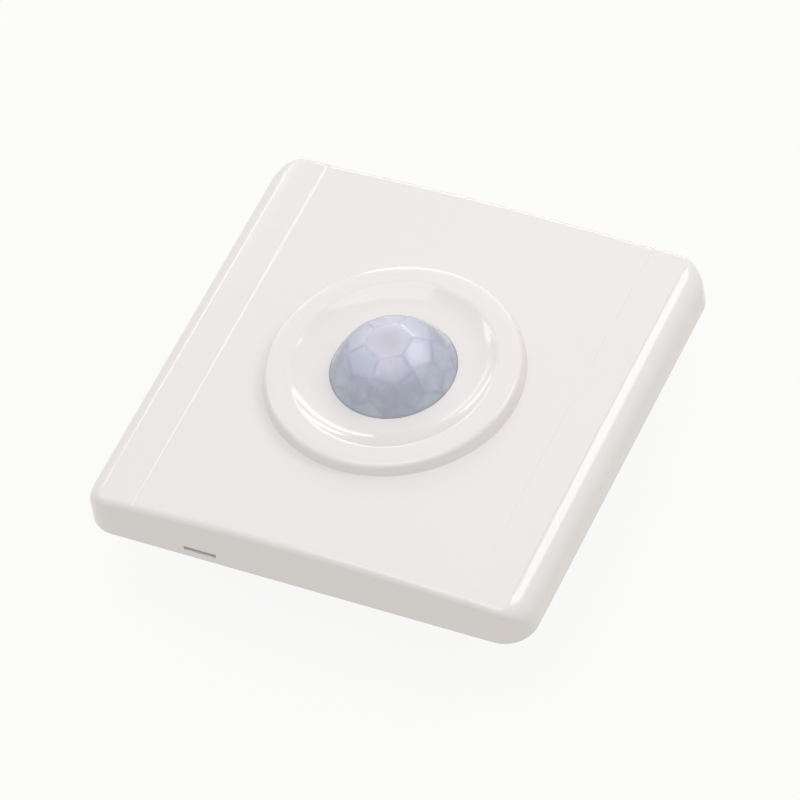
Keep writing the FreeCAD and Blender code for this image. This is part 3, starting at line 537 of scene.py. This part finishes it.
def top_height(x, y):
    """The strips' level, with the panel sunk between them behind steps that grow towards the back."""
    share = (y / step_reach + 1.0) / 2.0
    edge = arch_height(step_place, plate_top)
    foot = edge - step_heights[0] - (step_heights[1] - step_heights[0]) * share
    wall = foot + (abs(x) - step_place) * step_lean
    crown = plate_top - panel_dip
    drop = crown - foot
    radius = (step_place ** 2 + drop ** 2) / (2.0 * drop)
    panel = crown - radius + math.sqrt(radius ** 2 - x * x)
    return -soft_max(-plain_top(x)[0], -soft_max(panel, wall))


def top_normal(x, y):
    near = 0.01
    fall_x = (top_height(x - near, y) - top_height(x + near, y)) / (2.0 * near)
    fall_y = (top_height(x, y - near) - top_height(x, y + near)) / (2.0 * near)
    return (fall_x, fall_y, 1.0)


def bow(cx, cz, radius, start, end, steps, hollow=False):
    """An arc of a profile, with normals out of its centre, or into it where it is hollow."""
    sign = -1.0 if hollow else 1.0
    made = []
    for i in range(steps + 1):
        t = math.radians(start + (end - start) * i / steps)
        made.append((cx + radius * math.cos(t), cz + radius * math.sin(t),
                     sign * math.cos(t), sign * math.sin(t)))
    return made


class Patchwork:
    """One mesh made of patches that each bring their own smooth normals."""

    def __init__(self):
        self.points = []
        self.normals = []
        self.faces = []

    def add(self, points, normals, faces):
        start = len(self.points)
        self.points += [Vector(p) for p in points]
        self.normals += [Vector(n).normalized() for n in normals]
        for face in faces:
            face = [start + i for i in face]
            a, b, c = (self.points[i] for i in face[:3])
            outward = self.normals[face[0]] + self.normals[face[1]] + self.normals[face[2]]
            if (b - a).cross(c - a).dot(outward) < 0.0:
                face.reverse()
            self.faces.append(face)

    def grid(self, rows, normals, left_out=()):
        """Rows of points, each closed round."""
        count = len(rows[0])
        faces = []
        for i in range(len(rows) - 1):
            for j in range(count):
                k = (j + 1) % count
                upper, lower = i * count, (i + 1) * count
                if (i, j) not in left_out:
                    faces.append((upper + j, lower + j, lower + k, upper + k))
        self.add([p for row in rows for p in row], [n for row in normals for n in row], faces)

    def revolve(self, profile, centre=(0.0, 0.0), steps=round_steps):
        """A profile turned about a centre: radius, height, and the normal's outward and upward parts."""
        turns = [2.0 * math.pi * j / steps for j in range(steps)]
        ways = [(math.cos(t), math.sin(t)) for t in turns]
        rows = [[(centre[0] + r * x, centre[1] + r * y, z) for x, y in ways] for r, z, _, _ in profile]
        self.grid(rows, [[(out * x, out * y, rise) for x, y in ways] for _, _, out, rise in profile])

    def make(self, name, material):
        mesh = bpy.data.meshes.new(name)
        mesh.from_pydata([p * MM for p in self.points], [], self.faces)
        mesh.polygons.foreach_set("use_smooth", np.ones(len(mesh.polygons), bool))
        mesh.update()
        mesh.normals_split_custom_set_from_vertices([tuple(n) for n in self.normals])
        mesh.materials.append(material)
        return add_object(name, mesh)


def even_places(reach, half_steps):
    """Places from -reach to reach, without the two ends."""
    return [reach * (i / half_steps - 1.0) for i in range(1, 2 * half_steps)]


def rim_places():
    """Places round the rim, anticlockwise: an axis to measure from, and the way out of it."""
    axis = half_cover - cover_corner
    from_step = (-0.4, -0.15, 0.0, 0.1, 0.25, 0.4, 0.55, 0.7, 0.9)
    step_edge = [side * (step_place + offset) for side in (-1, 1) for offset in from_step]
    along_x = sorted(even_places(axis, 24) + list(slot_x) + step_edge)
    along_y = even_places(axis, 12)
    sides = ([(v, axis, 0.0, 1.0) for v in reversed(along_x)],
             [(-axis, v, -1.0, 0.0) for v in reversed(along_y)],
             [(v, -axis, 0.0, -1.0) for v in along_x],
             [(axis, v, 1.0, 0.0) for v in along_y])
    places = []
    for quarter, side in enumerate(sides):
        corner = math.radians(90.0 * quarter + 45.0)
        corner_x = math.copysign(axis, math.cos(corner))
        corner_y = math.copysign(axis, math.sin(corner))
        for i in range(corner_steps + 1):
            t = math.radians(90.0 * (quarter + i / corner_steps))
            places.append((corner_x, corner_y, math.cos(t), math.sin(t)))
        places += side
    return places


def rim_section(place):
    """The cover's edge at one place, from the top down its outside and up its inside to the ceiling."""
    axis_x, axis_y, out_x, out_y = place
    share = out_y * out_y
    radius = max(end_round, side_roll + (end_round - roll_close - side_roll) * share)
    draft = (side_draft + (end_draft - side_draft) * share) / (blank_top - rim_level)

    def top_at(out):
        x = axis_x + out * out_x
        return top_height(x, axis_y + out * out_y), plain_top(x)[1] * out_x

    # The roll's centre, and where the roll touches the sloping top, found in a few rounds
    centre = cover_corner - draft * (top_at(cover_corner)[0] - radius - rim_level) - radius
    touch = centre
    for _ in range(5):
        slope = top_at(touch)[1]
        touch = centre - radius * slope / math.hypot(1.0, slope)
    top, slope = top_at(touch)
    level = top - radius / math.hypot(1.0, slope)
    touch_angle = math.degrees(math.atan2(1.0, -slope))
    profile = bow(centre, level, radius, touch_angle, math.degrees(draft), roll_steps)

    # Down the outside, round the foot and up the inside
    for z in (slot_z[1], slot_z[0], rim_level + rim_foot):
        profile.append((cover_corner - draft * (z - rim_level), z, 1.0, draft))
    foot_level = rim_level + rim_foot
    profile += bow(cover_corner - rim_foot, foot_level, rim_foot, -22.5, -90.0, outer_foot_steps)
    inside = cover_corner - cover_wall
    profile += bow(inside + rim_foot, foot_level, rim_foot, -90.0, -180.0, inner_foot_steps)
    ceiling = arch_height(axis_x + inside * out_x, skin_under)
    for z in (slot_z[0], slot_z[1], wall_middle, ceiling - 2.0 * ceiling_round):
        profile.append((inside - inner_draft * (z - rim_level), z, -1.0, -inner_draft))
    reach = inside - inner_draft * (ceiling - rim_level)
    profile += bow(reach - ceiling_round, ceiling - ceiling_round, ceiling_round, 15.0, 90.0, 5,
                   hollow=True)
    return profile


def rim_rows():
    """Rows of points and normals round the rim. The next places give a normal its lie along the rim."""
    places = rim_places()
    sections = [rim_section(place) for place in places]
    rows, normals = [], []
    for i in range(len(sections[0])):
        row = [Vector((x + s[i][0] * out_x, y + s[i][0] * out_y, s[i][1]))
               for (x, y, out_x, out_y), s in zip(places, sections)]
        row_normals = []
        for j, ((_, _, out_x, out_y), s) in enumerate(zip(places, sections)):
            back_step = row[j] - row[j - 1]
            next_step = row[(j + 1) % len(row)] - row[j]
            along = back_step.normalized() * next_step.length + next_step.normalized() * back_step.length
            out, rise = s[i][2:]
            row_normals.append(Vector((rise * out_x, rise * out_y, -out)).cross(along))
        rows.append([tuple(v) for v in row])
        normals.append(row_normals)
    return places, rows, normals


def top_points():
    """Places for points between the rim and the ring's foot: fine by the step, wider elsewhere."""
    made = []
    from_step = (-0.6, -0.35, -0.2, -0.1, 0.0, 0.08, 0.16, 0.24, 0.32, 0.42, 0.52, 0.62, 0.72, 0.85, 1.1)
    end = half_cover - 2.0
    for offset in from_step:
        for side in (-1, 1):
            made += [(side * (step_place + offset), float(y)) for y in np.linspace(-end, end, 61)]
    columns = [3.0 * i for i in range(-10, 11)]
    columns += [side * (step_place + 2.0 + i) for side in (-1, 1) for i in range(3)]
    for x in columns:
        for y in np.linspace(-40.0, 40.0, 37):
            if math.hypot(x, y) > ring_radius + 0.8:
                made.append((x, float(y)))
    return made


def top_patch(work, outline):
    """The top between the rim and the ring's foot."""
    foot = ring_radius - 0.3
    turns = [2.0 * math.pi * j / round_steps for j in range(round_steps)]
    flat = list(outline) + [(foot * math.cos(t), foot * math.sin(t)) for t in turns] + top_points()
    first = len(outline)
    edges = [(j, (j + 1) % first) for j in range(first)]
    edges += [(first + j, first + (j + 1) % round_steps) for j in range(round_steps)]
    corners, _, triangles = delaunay_2d_cdt([Vector(p) for p in flat], edges, [], 0, 1e-6)[:3]
    ring_hole = foot * math.cos(math.pi / round_steps) - 0.0005
    kept = []
    for face in triangles:
        middle = sum((corners[i] for i in face), Vector((0.0, 0.0))) / len(face)
        if middle.length > ring_hole:
            kept.append(tuple(face))
    work.add([(p.x, p.y, top_height(p.x, p.y)) for p in corners],
             [top_normal(p.x, p.y) for p in corners], kept)


def ring_profile():
    """The ring from its root in the panel, over its crowned top and down the dish to the lens hole."""
    outer_top = ring_radius - ring_lean
    fall = math.asin(ring_crown_width / ring_crown)
    crown_in = outer_top - ring_edge * (1.0 - math.sin(fall)) - ring_crown_width
    land_in = crown_in + ring_crown_width - ring_land
    edge_level = ring_top - ring_crown * (1.0 - math.cos(fall)) - ring_edge * math.cos(fall)
    foot_level = arch_height(ring_radius, plate_top)
    lean = math.atan2(ring_lean, edge_level - foot_level)
    slope = math.radians(dish_slope)
    lip_x = land_in - dish_lip * math.sin(slope)
    lip_z = ring_top - dish_lip * (1.0 - math.cos(slope))
    sweep = (lip_z - dish_floor) / (1.0 - math.cos(slope))
    edge_end = 90.0 - math.degrees(fall)
    profile = [(ring_radius + ring_root * math.tan(lean), foot_level - ring_root,
                math.cos(lean), math.sin(lean))]
    profile += bow(outer_top - ring_edge, edge_level, ring_edge, math.degrees(lean), edge_end, 14)
    profile += bow(crown_in, ring_top - ring_crown, ring_crown, edge_end, 90.0, 8)
    profile += bow(land_in, ring_top - dish_lip, dish_lip, 90.0, 90.0 + dish_slope, 14)
    profile += bow(lip_x - sweep * math.sin(slope), dish_floor + sweep, sweep, dish_slope - 90.0, -90.0,
                   24, hollow=True)
    profile += bow(hole_high + hole_edge, dish_floor - hole_edge, hole_edge, 90.0, 180.0, 6)
    return profile


def underside(work, ceiling_edge):
    """The ceiling from the lens pocket out to the walls, the pocket and the lens hole."""
    rows = []
    for i in range(ceiling_rings + 1):
        row = []
        for x, y, _ in ceiling_edge:
            scale = pocket_radius / math.hypot(x, y)
            scale += (1.0 - scale) * i / ceiling_rings
            row.append((x * scale, y * scale, arch_height(x * scale, skin_under)))
        rows.append(row)
    work.grid(rows, [[(-x / arch_radius, 0.0, -1.0) for x, _, _ in row] for row in rows])
    pocket_rim = rows[0]
    inward = [(-x, -y, 0.0) for x, y, _ in pocket_rim]
    work.grid([[(x, y, flange_top) for x, y, _ in pocket_rim], pocket_rim], [inward, inward])
    work.revolve([(hole_low, flange_top, 0.0, -1.0), (pocket_radius, flange_top, 0.0, -1.0)])
    taper = (hole_high - hole_low) / (dish_floor - flange_top)
    work.revolve([(hole_high, dish_floor - hole_edge, -1.0, taper), (hole_low, flange_top, -1.0, taper)])


def pry_slot(work):
    """The four walls of the slot through the front."""
    outer = half_cover - end_draft / (blank_top - rim_level) * (slot_z[0] - rim_level)
    inner = half_cover - cover_wall - inner_draft * (slot_z[1] - rim_level)
    (left, right), (low, high) = slot_x, slot_z
    for x, way in ((left, 1.0), (right, -1.0)):
        work.add([(x, -outer, low), (x, -outer, high), (x, -inner, high), (x, -inner, low)],
                 [(way, 0.0, 0.0)] * 4, [(0, 1, 2, 3)])
    for z, way in ((low, 1.0), (high, -1.0)):
        work.add([(left, -outer, z), (right, -outer, z), (right, -inner, z), (left, -inner, z)],
                 [(0.0, 0.0, way)] * 4, [(0, 1, 2, 3)])


def stake_profile():
    """A boss under the ceiling with a stake through the retainer and the stake's melted head."""
    edge_x, edge_z = stake_head_radius - stake_head_edge, stake_head_level - stake_head_edge
    round_x = stake_head_radius - stake_head_round
    profile = [(stake_boss_radius, skin_under, 1.0, 0.0), (stake_boss_radius, stake_boss_end, 1.0, 0.0),
               (stake_boss_radius, stake_boss_end, 0.0, -1.0), (stake_radius, stake_boss_end, 0.0, -1.0),
               (stake_radius, stake_boss_end, 1.0, 0.0), (stake_radius, stake_head_level, 1.0, 0.0),
               (stake_radius, stake_head_level, 0.0, 1.0), (edge_x, stake_head_level, 0.0, 1.0)]
    profile += bow(edge_x, edge_z, stake_head_edge, 90.0, 0.0, 4)
    profile += bow(round_x, stake_head_level, stake_head_round, -14.0, -90.0, 6)
    return profile


def build_cover():
    work = Patchwork()
    places, rows, normals = rim_rows()
    at_slot = [j for j, (x, _, _, out_y) in enumerate(places)
               if out_y == -1.0 and slot_x[0] <= x < slot_x[1]]
    outer_row = roll_steps + 1
    inner_row = outer_row + 3 + (outer_foot_steps + 1) + (inner_foot_steps + 1)
    work.grid(rows, normals, {(i, j) for i in (outer_row, inner_row) for j in at_slot})
    pry_slot(work)
    top_patch(work, [(x, y) for x, y, _ in rows[0]])
    work.revolve(ring_profile())
    underside(work, rows[-1])
    for turn in (90.0, 210.0, 330.0):
        t = math.radians(turn)
        centre = (stake_circle * math.cos(t), stake_circle * math.sin(t))
        work.revolve(stake_profile(), centre, stake_steps)
    return work.make("cover_shell", finishes["cover_plastic"])


def build_clips():
    """Four tongues that hold the cover in the frame's slots."""
    box_faces = ((0, 1, 3, 2), (4, 6, 7, 5), (0, 4, 5, 1), (2, 3, 7, 6), (0, 2, 6, 4), (1, 5, 7, 3))
    points, faces = [], []
    for side_x in (-1.0, 1.0):
        for side_y in (-1.0, 1.0):
            start = len(points)
            for way_x in (-1.0, 1.0):
                for way_y in (-1.0, 1.0):
                    x = side_x * clip_spread + way_x * clip_half_width
                    y = side_y * clip_line + way_y * clip_half_thickness
                    points += [(x * MM, y * MM, z * MM) for z in clip_levels]
            faces += [tuple(start + i for i in face) for face in box_faces]
    mesh = bpy.data.meshes.new("cover_clips")
    mesh.from_pydata(points, [], faces)
    mesh.materials.append(finishes["cover_plastic"])
    return add_object("cover_clips", mesh)


cover = build_cover()
clips = build_clips()
for piece in (cover, clips):
    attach(piece, "cover")
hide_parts("front_cover")


# Finishes and fine edges for the pieces that keep their solids
def dress(name, finish, edge):
    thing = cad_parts[name]
    thing.data.materials.clear()
    thing.data.materials.append(finishes[finish])
    weld = thing.modifiers.new("weld", "WELD")
    weld.merge_threshold = 0.000001
    if edge:
        bevel = thing.modifiers.new("edge", "BEVEL")
        bevel.width = edge * MM
        bevel.segments = 2
        bevel.limit_method = "ANGLE"
        bevel.angle_limit = math.radians(40.0)
        bevel.harden_normals = True
    smooth = thing.modifiers.new("normals", "WEIGHTED_NORMAL")
    smooth.keep_sharp = True


# Each piece's finish and the width of its fine edge
dressing = {
    "lens_retainer": ("inner_plastic", 0.1),
    "mounting_frame": ("frame_plastic", 0.15), "rear_housing": ("housing_plastic", 0.2),
    "housing_screws": ("plated_steel", 0.08), "board_screws": ("plated_steel", 0.06),
    "board_spacers": ("nylon", 0.1), "power_board": ("board_laminate", 0.0),
    "sensor_board": ("board_laminate", 0.0), "terminal_block": ("terminal_plastic", 0.12),
    "terminal_contacts": ("tinned_brass", 0.06), "pir_spacer": ("black_plastic", 0.1),
    "pir_header": ("nickel_steel", 0.05), "pir_can": ("can_metal", 0.15),
    "pir_window": ("filter_glass", 0.0), "pir_element": ("element_ceramic", 0.03),
    "photocell": ("photocell_face", 0.12),
    "control_chip": ("black_plastic", 0.08), "control_chip_pins": ("tinned_brass", 0.03),
    "chip_resistors": ("resistor_body", 0.04), "filter_capacitors": ("capacitor_sleeve", 0.0),
    "link_socket": ("black_plastic", 0.06), "link_header": ("black_plastic", 0.06),
    "link_pins": ("tinned_brass", 0.05), "relay": ("relay_plastic", 0.1),
    "film_capacitor": ("film_yellow", 0.1), "bridge_rectifier": ("black_plastic", 0.1),
    "big_capacitor": ("capacitor_sleeve", 0.0), "varistor": ("varistor_coat", 0.4),
    "fuse": ("fuse_plastic", 0.0), "regulator": ("black_plastic", 0.1),
    "dropper_resistor": ("dropper_coat", 0.0),
}
for number in (1, 2, 3):
    dressing["terminal_screw_%d" % number] = ("plated_steel", 0.06)
    dressing["terminal_cage_%d" % number] = ("nickel_steel", 0.06)
for knob in ("time", "lux"):
    dressing[knob + "_trimmer_base"] = ("trimmer_blue", 0.1)
    dressing[knob + "_trimmer_rotor"] = ("trimmer_white", 0.06)
for name, (finish, edge) in dressing.items():
    dress(name, finish, edge)


# Floor, world and lamps
def seen_by_camera(g):
    """1 for what the camera sees itself, in a shiny surface or through a clear one."""
    path = g.node("ShaderNodeLightPath").outputs
    flag = g.math("MAXIMUM", path["Is Camera Ray"], path["Is Glossy Ray"])
    return g.math("MAXIMUM", flag, path["Is Transmission Ray"])


def floor_white():
    """Mostly plain white to the camera, with some of the lit floor left in to keep the shadow."""
    g = new_material("floor_white")
    lit = g.node("ShaderNodeBsdfDiffuse", Color=(0.74, 0.71, 0.66, 1.0))
    glow = g.node("ShaderNodeEmission", Color=(1.0, 1.0, 1.0, 1.0), Strength=1.0)
    return g.blend_shaders(g.math("MULTIPLY", seen_by_camera(g), 0.90), lit, glow)


def build_floor():
    half_side = 3.0
    level = cad_box[0][2] - 0.2 * MM
    mesh = bpy.data.meshes.new("floor")
    corners = ((-1, -1), (1, -1), (1, 1), (-1, 1))
    mesh.from_pydata([(x * half_side, y * half_side, level) for x, y in corners], [], [(0, 1, 2, 3)])
    mesh.materials.append(floor_white())
    return add_object("floor", mesh)


def light_world():
    """A soft even light, which the camera sees as white."""
    world = bpy.data.worlds.new("studio")
    bpy.context.scene.world = world
    g = Graph(world, "ShaderNodeOutputWorld")
    soft_light = g.node("ShaderNodeBackground", Color=(0.98, 0.99, 1.0, 1.0), Strength=0.68)
    white = g.node("ShaderNodeBackground", Color=(1.0, 1.0, 1.0, 1.0), Strength=1.0)
    g.blend_shaders(seen_by_camera(g), soft_light, white)


floor = build_floor()
light_world()


def toward(azimuth, elevation):
    """A direction from its turn about Z, counted from +X, and its height in degrees."""
    turn, height = math.radians(azimuth), math.radians(elevation)
    return math.cos(turn) * math.cos(height), math.sin(turn) * math.cos(height), math.sin(height)


def softbox(name, direction, distance, size_x, size_y, radiance, shine_only=False):
    """A rectangular lamp that faces the object, given in metres and by the brightness of its face."""
    light = bpy.data.lights.new(name, "AREA")
    light.shape = "RECTANGLE"
    light.size = size_x
    light.size_y = size_y
    light.energy = radiance * math.pi * size_x * size_y
    way = Vector(direction).normalized()
    lamp = add_object(name, light)
    lamp.location = way * distance
    lamp.visible_diffuse = not shine_only
    lamp.rotation_mode = "QUATERNION"
    lamp.rotation_quaternion = (-way).to_track_quat("-Z", "Y")


softbox("overhead", toward(270.0, 82.0), 1.2, 0.9, 0.9, 1.5)
softbox("key", toward(46.6, 45.3), 0.474, 0.20, 0.17, 2.8)
softbox("back_band_low", toward(105.0, 20.0), 0.8, 0.48, 0.048, 6.0)
softbox("back_band_high", toward(105.0, 32.0), 0.8, 0.48, 0.064, 5.0)
softbox("left_band_low", toward(140.0, 23.0), 0.8, 0.27, 0.064, 3.0, shine_only=True)
softbox("left_band_high", toward(140.0, 34.0), 0.8, 0.27, 0.054, 2.0, shine_only=True)
softbox("side_band", toward(168.0, 40.0), 0.8, 0.19, 0.096, 3.0, shine_only=True)

# Camera, at the photograph's place. Angles are in degrees, lengths in millimetres.
view_azimuth = 33.3268
view_elevation = 50.061
view_roll = -11.657
view_distance = 1059.1248
view_shift_x = -0.0309
view_shift_y = 1.1611
focal_pixels = 5951.1915
photo_pixels = 800.0
sensor_width = 36.0


def place_camera():
    a, e, r = math.radians(view_azimuth), math.radians(view_elevation), math.radians(view_roll)
    back = Vector((math.sin(a) * math.cos(e), -math.cos(a) * math.cos(e), math.sin(e)))
    right = Vector((math.cos(a), math.sin(a), 0.0))
    up = back.cross(right)
    rolled_right = right * math.cos(r) + up * math.sin(r)
    rolled_up = up * math.cos(r) - right * math.sin(r)
    data = bpy.data.cameras.new("camera")
    data.sensor_fit = "HORIZONTAL"
    data.sensor_width = sensor_width
    data.lens = focal_pixels * sensor_width / photo_pixels
    data.clip_start = 0.05
    data.clip_end = 20.0
    camera = add_object("camera", data)
    place = (right * view_shift_x + up * view_shift_y + back * view_distance) * MM
    turn = Matrix((rolled_right, rolled_up, back)).transposed().to_4x4()
    camera.matrix_world = Matrix.Translation(place) @ turn
    bpy.context.scene.camera = camera


place_camera()
bpy.context.scene.view_settings.view_transform = "Standard"
